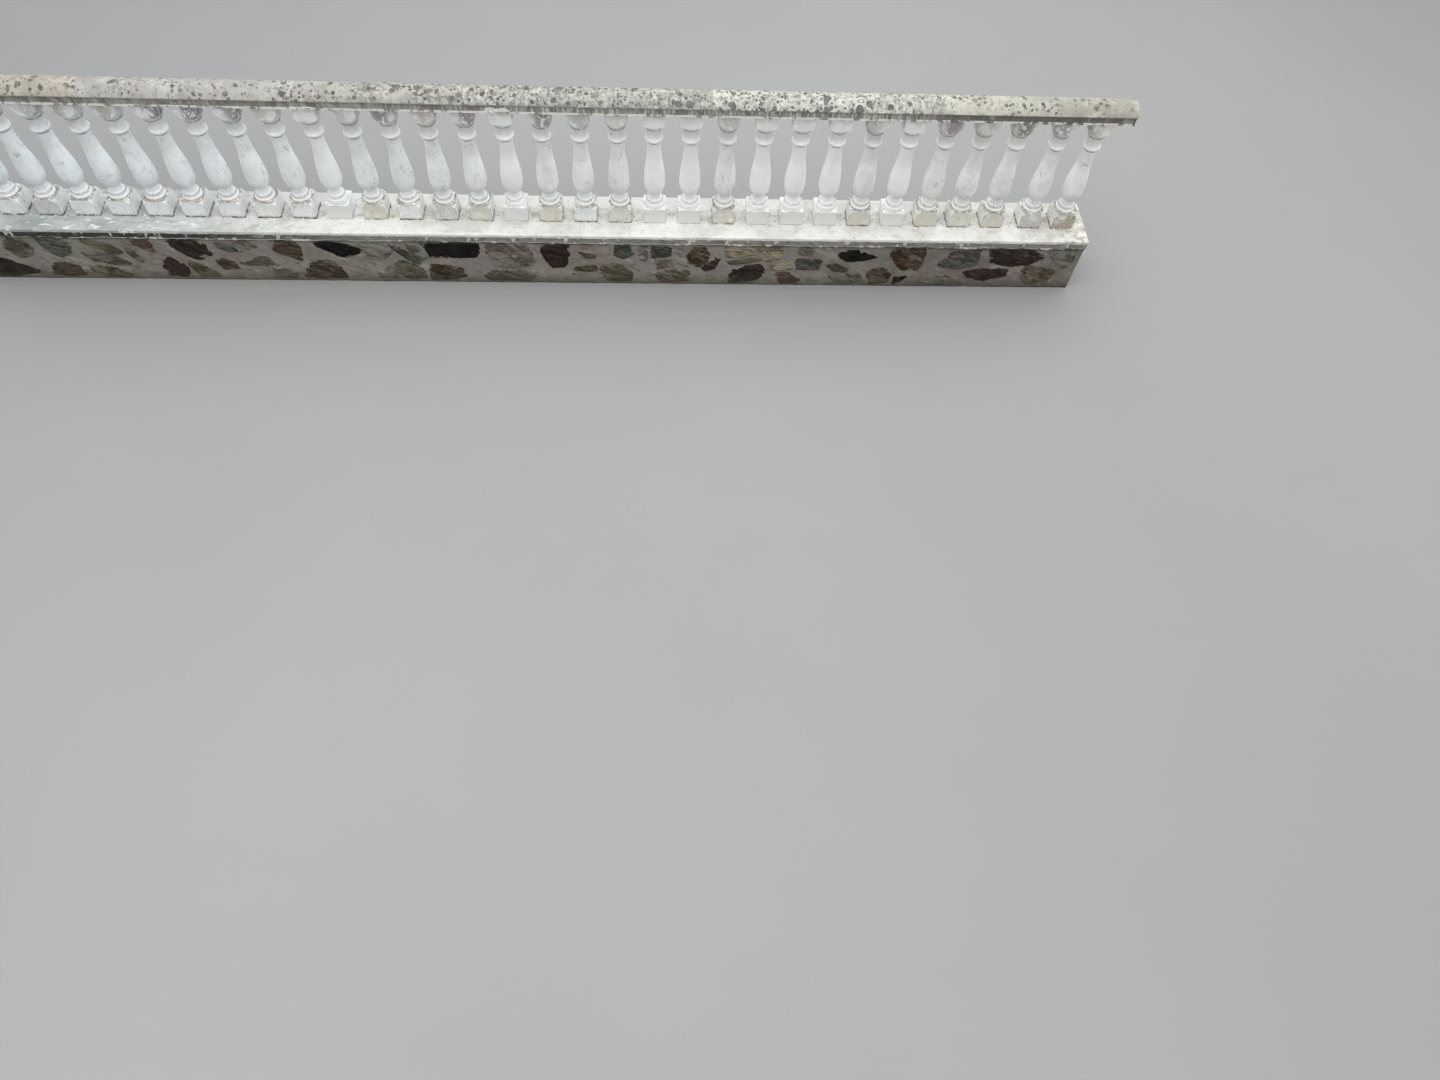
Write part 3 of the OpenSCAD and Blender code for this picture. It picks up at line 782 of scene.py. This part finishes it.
# The garden face's stones: kind, then along and up of each corner in centimetres
SEEN_STONES = [
    ("olive", -292, 28, -279, 29, -276, 19, -284, 16, -292, 18),
    ("maroon", -292, 14, -278, 15, -269, 11, -260, 4, -275, 1, -292, 1),
    ("olive", -274, 22, -267, 29, -260, 28, -257, 20, -260, 15, -268, 13),
    ("slate", -255, 28, -246, 29, -240, 28, -238, 22, -241, 16, -247, 14, -253, 20),
    ("brown", -258, 3, -254, 11, -246, 12, -240, 9, -239, 2, -252, 1),
    ("olive", -233, 28, -226, 28, -218, 24, -213, 18, -218, 16, -226, 21, -232, 25),
    ("grey", -237, 19, -227, 19, -221, 19, -215, 14, -210, 9, -220, 9, -232, 12),
    ("olive", -237, 10, -224, 9, -217, 5, -214, 1, -230, 1, -236, 5),
    ("brown", -209, 28, -203, 29, -198, 28, -196, 22, -198, 18, -202, 20, -207, 24),
    ("olive", -212, 24, -208, 20, -205, 12, -208, 11, -213, 18),
    ("maroon", -192, 29, -184, 29, -174, 29, -169, 24, -169, 17, -177, 13, -184, 17, -189, 23),
    ("maroon", -197, 15, -191, 16, -186, 11, -184, 4, -188, 1, -197, 2, -199, 9),
    ("olive", -185, 14, -177, 11, -172, 7, -169, 1, -181, 2, -184, 7),
    ("slate", -167, 27, -161, 26, -156, 23, -152, 20, -160, 19, -166, 23),
    ("grey", -157, 29, -147, 28, -143, 23, -150, 21, -157, 25),
    ("brown", -170, 13, -166, 16, -160, 13, -158, 8, -167, 7),
    ("olive", -159, 12, -150, 15, -145, 18, -141, 17, -138, 11, -147, 10, -155, 10),
    ("brown", -138, 22, -134, 29, -125, 29, -122, 24, -124, 13, -129, 16, -135, 19),
    ("olive", -142, 9, -134, 9, -129, 5, -131, 1, -141, 2),
    ("black", -118, 28, -109, 28, -101, 27, -91, 23, -93, 19, -102, 16, -107, 19, -115, 24),
    ("brown", -128, 2, -122, 12, -117, 15, -110, 15, -105, 10, -102, 2, -115, 1),
    ("green", -93, 28, -80, 27, -75, 22, -80, 15, -90, 15),
    ("grey", -88, 2, -82, 10, -77, 11, -76, 2),
    ("slate", -79, 27, -73, 26, -66, 18, -60, 12, -64, 11, -71, 17),
    ("green", -69, 27, -62, 25, -58, 17, -62, 14, -67, 19),
    ("olive", -77, 15, -70, 16, -62, 10, -61, 2, -73, 1, -78, 8),
    ("black", -62, 28, -56, 29, -37, 29, -30, 29, -30, 21, -32, 17, -58, 17, -59, 22),
    ("brown", -60, 8, -58, 13, -50, 13, -41, 10, -39, 4, -49, 1, -60, 1),
    ("grey", -29, 28, -20, 29, -6, 27, -2, 20, -1, 13, -10, 10, -24, 10, -28, 17),
    ("olive", -33, 6, -24, 9, -10, 9, -2, 5, -5, 1, -30, 1),
    ("maroon", 0, 27, 6, 29, 17, 29, 17, 19, 14, 11, 6, 10, 2, 17),
    ("ochre", 21, 28, 30, 28, 30, 24, 23, 24),
    ("brown", 20, 23, 25, 22, 31, 21, 30, 18, 24, 18),
    ("slate", 40, 28, 49, 28, 51, 21, 45, 17, 39, 20),
    ("brown", 18, 12, 22, 13, 30, 14, 31, 9, 24, 8, 18, 9),
    ("olive", 32, 14, 38, 15, 45, 14, 50, 8, 50, 1, 36, 1, 31, 6),
    ("green", 52, 28, 58, 28, 58, 16, 53, 16),
    ("slate", 59, 28, 71, 27, 71, 20, 59, 18),
    ("grey", 60, 17, 70, 18, 72, 13, 62, 10),
    ("olive", 60, 8, 72, 11, 81, 10, 81, 2, 64, 1),
    ("brown", 78, 21, 82, 27, 88, 28, 91, 22, 91, 15, 85, 12, 79, 15),
    ("maroon", 86, 12, 94, 20, 97, 18, 94, 11, 88, 9),
    ("ochre", 98, 29, 118, 29, 118, 22, 110, 20, 99, 19),
    ("olive", 100, 17, 110, 20, 119, 21, 120, 17, 108, 15, 101, 14),
    ("maroon", 102, 10, 110, 14, 120, 16, 122, 10, 120, 5, 110, 1, 100, 1),
    ("ochre", 119, 29, 130, 29, 131, 22, 126, 16, 120, 17),
    ("ochre", 122, 15, 129, 16, 136, 17, 136, 11, 125, 10),
    ("brown", 126, 10, 135, 10, 142, 4, 140, 1, 130, 1),
    ("olive", 138, 29, 146, 29, 147, 23, 142, 21, 138, 23),
    ("slate", 136, 20, 144, 20, 153, 19, 151, 11, 138, 11),
    ("black", 160, 25, 170, 27, 177, 24, 183, 21, 175, 18, 165, 17, 159, 20),
    ("olive", 153, 15, 160, 17, 168, 13, 167, 9, 158, 10),
    ("grey", 156, 8, 166, 10, 175, 9, 178, 3, 168, 1, 159, 2),
    ("brown", 177, 9, 181, 14, 187, 15, 192, 9, 191, 2, 180, 1),
    ("black", 193, 7, 201, 8, 199, 4, 193, 1),
    ("rust", 187, 23, 189, 29, 208, 29, 208, 20, 207, 12, 197, 11, 191, 17),
    ("slate", 213, 15, 221, 26, 230, 29, 238, 28, 238, 16, 226, 12),
    ("grey", 207, 9, 220, 10, 232, 6, 234, 1, 214, 1, 206, 3),
    ("maroon", 241, 28, 254, 29, 268, 28, 275, 22, 266, 16, 254, 15, 243, 18),
    ("maroon", 230, 12, 242, 14, 257, 14, 257, 8, 243, 4, 232, 7),
    ("olive", 264, 17, 276, 16, 284, 12, 281, 4, 268, 2, 263, 9),
    ("green", 272, 28, 291, 29, 291, 18, 287, 13, 278, 20),
]


def seen_stones():
    """The outlines of the garden face's stones, in metres."""
    stones = []
    for kind, *places in SEEN_STONES:
        stones.append((kind, [(along / 100, up / 100) for along, up in zip(places[::2], places[1::2])]))
    return stones


def rough_corners(draw, x, z, length, height):
    """The corners of a broken, roughly oblong stone round x, z."""
    lean = math.radians(draw.uniform(-24, 6))
    count = draw.randint(5, 7)
    start = draw.uniform(0, 2 * math.pi)
    corners = []
    for k in range(count):
        turn = start - 2 * math.pi * (k + draw.uniform(-0.25, 0.25)) / count
        c = math.cos(turn)
        s = math.sin(turn)
        reach = (c ** 4 + s ** 4) ** -0.25
        along, up = turned(length / 2 * reach * c, height / 2 * reach * s, lean)
        corners.append((x + along, z + up))
    return corners


COURSES = (0.075, 0.212)


def laid_stones(draw, start, end):
    """Two courses of stones between two places along a face."""
    stones = []
    for course_z in COURSES:
        x = start + draw.uniform(0.01, 0.04)
        while x < end - 0.07:
            length = min(draw.uniform(0.13, 0.28), end - 0.01 - x)
            height = draw.uniform(0.112, 0.14)
            z = course_z + draw.uniform(-0.01, 0.01)
            corners = rough_corners(draw, x + length / 2, z, length, height)
            stones.append((draw.choice(sorted(STONE_TONES)), corners))
            x += length + draw.uniform(-0.004, 0.016)
    return stones


LUMP_RINGS = 11
LUMP_SIDES = 56
LUMP_ROOT = 0.01
# Stones are drawn a little large, because mortar is smeared over their rims
LUMP_SPREAD = 1.07
# The share of the way from a lump's middle to its rim, for each of its points
LUMP_RIMS = [0.0] + [ring / LUMP_RINGS for ring in range(1, LUMP_RINGS + 1) for side in range(LUMP_SIDES)]


def edge_reach(corners, middle, c, s):
    """How far an outline reaches from its middle in the direction c, s."""
    reach = 0.0
    for (ax, az), (bx, bz) in zip(corners, corners[1:] + corners[:1]):
        px = ax - middle[0]
        pz = az - middle[1]
        dx = bx - ax
        dz = bz - az
        across = c * dz - s * dx
        if abs(across) > 1e-9 and 0 <= (px * s - pz * c) / across <= 1:
            reach = max(reach, (px * dz - pz * dx) / across)
    return reach


def outline_ways(corners):
    """The middle of an outline, and directions from it with the reach in each."""
    xs, zs = zip(*corners)
    middle = (sum(xs) / len(xs), sum(zs) / len(zs))
    half_x = (max(xs) - min(xs)) / 2
    half_z = (max(zs) - min(zs)) / 2
    ways = []
    for side in range(LUMP_SIDES):
        turn = 2 * math.pi * side / LUMP_SIDES
        c = half_x * math.cos(turn)
        s = half_z * math.sin(turn)
        size = math.hypot(c, s)
        ways.append((c / size, s / size, edge_reach(corners, middle, c / size, s / size)))
    return middle, ways


def lump(corners, draw, proud):
    """A rounded lump over an outline: its middle, and points (along, up, out) from there."""
    seed = draw.uniform(0, 100)
    middle, ways = outline_ways(corners)
    rise = proud * draw.uniform(0.55, 1.0)
    points = [(0, 0, rise)]
    for ring in range(1, LUMP_RINGS + 1):
        part = ring / LUMP_RINGS
        dome = (1 - part ** 8) ** 0.6
        for side, (c, s, reach) in enumerate(ways):
            rounded = (ways[side - 1][2] + 2 * reach + ways[(side + 1) % LUMP_SIDES][2]) / 4
            edge = (rounded * c, rounded * s, 0)
            ragged = waves(0, edge, (0.006, 0.04, seed), (0.003, 0.013, seed))
            along = (rounded * LUMP_SPREAD + ragged) * c * part
            up = (rounded * LUMP_SPREAD + ragged) * s * part
            rough = 0.0014 * wave((along * 0.25, up, 0), 0.016, seed)
            rough += 0.001 * wave((along, up, 0), 0.03, seed)
            out = -LUMP_ROOT + (rise + LUMP_ROOT) * dome + rough * (1 - part ** 6)
            points.append((along, up, min(out, proud)))
    return middle, points


def lump_faces(base):
    """The faces of a lump from the point number base on, closed at the back."""
    faces = [[base, base + 1 + s, base + 1 + (s + 1) % LUMP_SIDES] for s in range(LUMP_SIDES)]
    for ring in range(LUMP_RINGS - 1):
        inner = base + 1 + ring * LUMP_SIDES
        outer = inner + LUMP_SIDES
        for s in range(LUMP_SIDES):
            t = (s + 1) % LUMP_SIDES
            faces.append([inner + s, outer + s, outer + t, inner + t])
    rim = base + 1 + (LUMP_RINGS - 1) * LUMP_SIDES
    faces.append([rim + s for s in reversed(range(LUMP_SIDES))])
    return faces


def build_stones(name, stones, place, proud, material, seed):
    """Lays stones on a face; place(along, up, out) gives a point of the wall."""
    draw = random.Random(seed)
    points = []
    faces = []
    tones = []
    lays = []
    for number, (kind, corners) in enumerate(stones):
        faces += lump_faces(len(points))
        middle, local = lump(corners, draw, proud)
        shade = draw.uniform(0.85, 1.2)
        tone = [c * shade for c in STONE_TONES[kind]]
        lean = math.radians(draw.uniform(-35, 0))
        for along, up, out in local:
            height = clamp(middle[1] + up, 0.003, WALL_HIGH[2] - 0.002)
            points.append(place(middle[0] + along, height, out))
            tones += [*tone, 1.0]
            lays += [*turned(along, up, -lean), 0.3 * number]
    piece = new_piece(name, points, faces, material, "rubble_masonry")
    set_attribute(piece, "tone", "FLOAT_COLOR", "color", tones)
    set_attribute(piece, "lay", "FLOAT_VECTOR", "vector", lays)
    set_attribute(piece, "rim", "FLOAT", "value", LUMP_RIMS * len(stones))


# How far stones stand out on the long faces and the ends, and how far the ends are set back
FACE_PROUD = 0.0035
END_PROUD = 0.0052
END_FACE = 0.006
END_HALF = 0.135


def build_all_stones(material):
    """The stones of all four faces; the garden face follows the photo."""
    face = WALL_FACE + 0.001
    inside = HALF_RUN - 0.012
    draw = random.Random(17)
    back = laid_stones(draw, -HALF_RUN, HALF_RUN)
    left = laid_stones(draw, -END_HALF, END_HALF)
    right = laid_stones(draw, -END_HALF, END_HALF)

    def long_face(side):
        """Points of the garden face, side -1, or the far face, side 1."""
        return lambda u, v, out: (clamp(-side * u, -inside, inside), side * (face + out), v)

    def end_face(side):
        return lambda u, v, out: (side * (HALF_RUN - END_FACE + out), side * u, v)

    build_stones("wall_stones_front", seen_stones(), long_face(-1), FACE_PROUD, material, 5)
    build_stones("wall_stones_back", back, long_face(1), FACE_PROUD, material, 6)
    build_stones("wall_stones_left", left, end_face(-1), END_PROUD, material, 7)
    build_stones("wall_stones_right", right, end_face(1), END_PROUD, material, 8)


# Outlines of the daubs, along from the baluster's axis and up from the handrail's lowest edge
DAUBS = {
    16: [(-0.075, 0.002), (-0.07, 0.026), (-0.04, 0.036), (-0.012, 0.022), (0.03, 0.03),
         (0.06, 0.012), (0.052, 0.001)],
    11: [(-0.062, 0.001), (-0.06, 0.014), (-0.01, 0.011), (0.02, 0.016), (0.062, 0.01),
         (0.06, 0.001)],
}
DAUB_PROUD = 0.0072


def build_daubs(material):
    """White mortar pressed under the handrail's nose over two recast heads."""
    draw = random.Random(4)
    face_y = RAIL_Y - RAIL_FACE_HALF + 0.002
    low = RAIL_LOW[2]
    for n, outline in DAUBS.items():
        corners = [(AXES[n] + along, low + up) for along, up in reversed(outline)]
        middle, local = lump(corners, draw, DAUB_PROUD)
        points = []
        for along, up, out in local:
            points.append((middle[0] + along, face_y - out, max(middle[1] + up, low + 0.0005)))
        new_piece(f"daub_over_{n}", points, lump_faces(0), material, "mortar")


BED_CELL = 0.009
BED_FACE = 0.148
BED_SAG = 0.022


def bed_shape(point):
    """The bed hangs over the wall's top with a ragged lower edge."""
    x, y, z = point
    part = (z - BED_LOW[2]) / (BED_HIGH[2] - BED_LOW[2])
    if abs(y) > BED_HIGH[1] - 0.002:
        swell = waves(0, point, (0.002, 0.09, 2), (0.0012, 0.025, 7))
        y = math.copysign(BED_FACE + clamp(swell, -0.0015, 0.003), y)
        sag = waves(0.004, (x, y, 0), (0.009, 0.14, 4), (0.005, 0.03, 8))
        z -= clamp(sag, 0, BED_SAG) * (1 - part)
    if abs(x) > HALF_RUN - 0.001:
        x = sunk_end((x, y, z), 0.0015, (0.0015, 0.05, 6), 0.0003, 0.004)
    return x, y, z


def build_bed(material):
    """The mortar course under the sill; brim marks its lowest points."""
    cells = (int(2 * HALF_RUN / BED_CELL), 8, 5)
    points, faces = box_grid(BED_LOW, BED_HIGH, cells, bed_shape)
    piece = new_piece("bed_mass", points, faces, material, "mortar")
    brim = [float(z < BED_LOW[2] + 0.001) for x, y, z in points]
    set_attribute(piece, "brim", "FLOAT", "value", brim)
    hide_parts("mortar_bed")


SILL_CELL = 0.01
SILL_ROUND = 0.004


def sill_shape(point):
    """A trowelled top that dips a little, and long edges with small chips."""
    x, y, z = point
    top = z > SILL_TOP - 0.001
    if abs(y) > SILL_HIGH[1] - 0.001:
        wobble = waves(0, point, (0.0008, 0.2, 1), (0.001, 0.02, 3))
        chip = 0.007 * max(0, wave(point, 0.045, 12) - 0.42)
        y = math.copysign(SILL_HIGH[1] - clamp(0.0012 + wobble + chip, 0, 0.009), y)
        rounding = SILL_ROUND + 0.4 * chip
        if top:
            z -= rounding * 0.5
        elif z < SILL_LOW[2] + 0.001:
            z += rounding * 0.3
    elif top:
        dip = waves(0.0006, (x, y, 0), (0.0006, 0.12, 5), (0.0003, 0.02, 9))
        z -= clamp(dip, 0, 0.0016)
    if abs(x) > HALF_RUN - 0.001:
        x = sunk_end((x, y, z), 0.0008, (0.0008, 0.03, 6), 0, 0.002)
    return x, y, z


def build_sill(material):
    """The painted screed that the balusters stand on."""
    cells = (int(2 * HALF_RUN / SILL_CELL), 38, 5)
    grid = box_grid(SILL_LOW, SILL_HIGH, cells, sill_shape)
    piece = new_piece("sill_screed", *grid, material, "painted_sill")
    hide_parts("sill")


RING_STEPS = 22
RING_SINK = -0.002
DIRT_WIDE = 0.005
DIRT_TALL = 0.0035


def ring_of_dirt(axis, seed, wide, tall):
    """A low ragged fillet round a baluster's foot, four points at each step."""
    points = []
    for step in range(4 * RING_STEPS):
        side, k = divmod(step, RING_STEPS)
        turn = side * math.pi / 2
        across, deep = turned(FOOT_HALF, FOOT_HALF * (-1 + 2 * k / RING_STEPS), turn)
        x = axis + across
        y = RAIL_Y + deep
        size = clamp(0.55 + 0.45 * wave((x, y, 0), 0.022, seed), 0.12, 1)
        if k == 0:
            turn -= math.pi / 4
        section = [(RING_SINK, RING_SINK), (wide * size, RING_SINK), (wide * size * 0.45, tall * size * 0.5),
                   (RING_SINK, tall * size)]
        for out, up in section:
            points.append((x + out * math.cos(turn), y + out * math.sin(turn), SILL_TOP + up))
    return points


def build_foot_dirt(material):
    """The fillets round all feet, thin on the recast balusters."""
    points = []
    faces = []
    for n, axis in AXES.items():
        size = 0.35 if n in RECAST else 1
        ring = ring_of_dirt(axis, n * 1.7, DIRT_WIDE * size, DIRT_TALL * size)
        for k in range(0, len(ring), 4):
            here = len(points) + k
            on = len(points) + (k + 4) % len(ring)
            faces += [[here + a, here + b, on + b, on + a] for a, b in ((0, 1), (1, 2), (2, 3), (3, 0))]
        points += ring
    new_piece("foot_dirt", points, faces, material, "mortar")


# From the fit of the photo's balusters and edges, in metres and radians
PHOTO_WIDE = 1440
SENSOR = 36
LENS_PIXELS = 985.93
CAMERA_PLACE = (0.6434, -4.1113, 4.0007)
CAMERA_YAW = 0.11687
CAMERA_DOWN = 1.04077
CAMERA_ROLL = -0.09535


def fit_camera():
    """The photo's own view, rolled, turned down and then aside."""
    data = bpy.data.cameras.new("photo_camera")
    data.sensor_width = SENSOR
    data.lens = LENS_PIXELS / PHOTO_WIDE * SENSOR
    data.clip_end = 200
    roll = Matrix.Rotation(-CAMERA_ROLL, 4, "Z")
    down = Matrix.Rotation(math.pi / 2 - CAMERA_DOWN, 4, "X")
    yaw = Matrix.Rotation(-CAMERA_YAW, 4, "Z")
    camera = new_object("photo_camera", data)
    camera.matrix_world = Matrix.Translation(CAMERA_PLACE) @ yaw @ down @ roll
    bpy.context.scene.camera = camera


def area_light(name, at, target, size_x, size_y, power, colour):
    data = bpy.data.lights.new(name, "AREA")
    data.shape = "RECTANGLE"
    data.size = size_x
    data.size_y = size_y
    data.energy = power
    data.color = colour
    light = new_object(name, data)
    light.location = at
    light.rotation_euler = (Vector(target) - Vector(at)).to_track_quat("-Z", "Y").to_euler()


SKY_TONE = (0.93, 0.96, 1)
SKY_PLAIN = 0.66
SKY_ALONG = 1.5
SKY_BEYOND = 0.34
SKY_LEAST = 0.08
SKY_SEEN = 0.6


def build_world():
    """A soft sky, brightest along and beyond the wall; plain where seen."""
    world = bpy.data.worlds.new("studio")
    world.use_nodes = True
    g = Graph(world.node_tree)
    along, beyond = g.split(g.node("TexCoord").outputs["Generated"])[:2]
    light = g.add(g.times(g.times(along, along), SKY_ALONG), SKY_PLAIN)
    light = g.either(g.add(light, g.times(beyond, SKY_BEYOND)), SKY_LEAST)
    strength = g.node("Mix", g.looked_at())
    g.put(strength.inputs[2], light)
    g.put(strength.inputs[3], SKY_SEEN)
    g.fill(g.tree.nodes["Background"], Color=SKY_TONE, Strength=strength.outputs[0])
    bpy.context.scene.world = world


def build_light():
    """The sky, and broad soft lights above, in front, on the right and behind."""
    build_world()
    area_light("overhead", (0.3, -0.3, 5.2), (0, 0, 0.6), 9, 5, 215, (1, 0.985, 0.96))
    area_light("front_fill", (0, -5.5, 2.8), (0, 0, 0.5), 8, 3, 65, (1, 0.98, 0.95))
    area_light("right_fill", (7, -2.5, 3), (0, 0, 0.6), 3, 3, 45, (1, 0.96, 0.9))
    area_light("rim", (3.5, 4.5, 3.2), (0.3, 0, 0.6), 6, 2, 35, (1, 0.99, 0.97))


FLOOR_HALF = 30


def build_floor():
    """A plain pale floor that throws back little light, as the garden's soil does."""
    s = Shade("studio_floor", 0.9)
    pale = s.mix(s.patches(3, 1, 0.3, 0.7), (0.3, 0.3, 0.295), (0.315, 0.315, 0.31))
    s.colour = s.mix(s.looked_at(), (0.14, 0.13, 0.12), pale)
    corners = [(FLOOR_HALF * x, FLOOR_HALF * y, 0) for x, y in ((-1, -1), (1, -1), (1, 1), (-1, 1))]
    floor = new_object("floor", new_mesh("floor", corners, [[0, 1, 2, 3]], s.finish()))


def dress(node, material):
    """Gives a CAD node its material."""
    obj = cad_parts[node]
    if not obj.material_slots:
        obj.data.materials.append(material)
    for place in obj.material_slots:
        place.material = material


def main():
    for node in BALUSTERS:
        dress(node, cast_stone(int(node[-2:])))
    for node in RAILS:
        dress(node, rail_stone(int(node[-1])))
    dress("rail_joints", joint_mortar())
    build_wall(wall_mortar())
    build_all_stones(rubble_stone())
    build_daubs(white_mortar())
    build_bed(bed_mortar())
    build_sill(sill_paint())
    build_foot_dirt(foot_dirt())
    fit_camera()
    build_light()
    build_floor()
    bpy.context.scene.view_settings.view_transform = "Standard"


main()
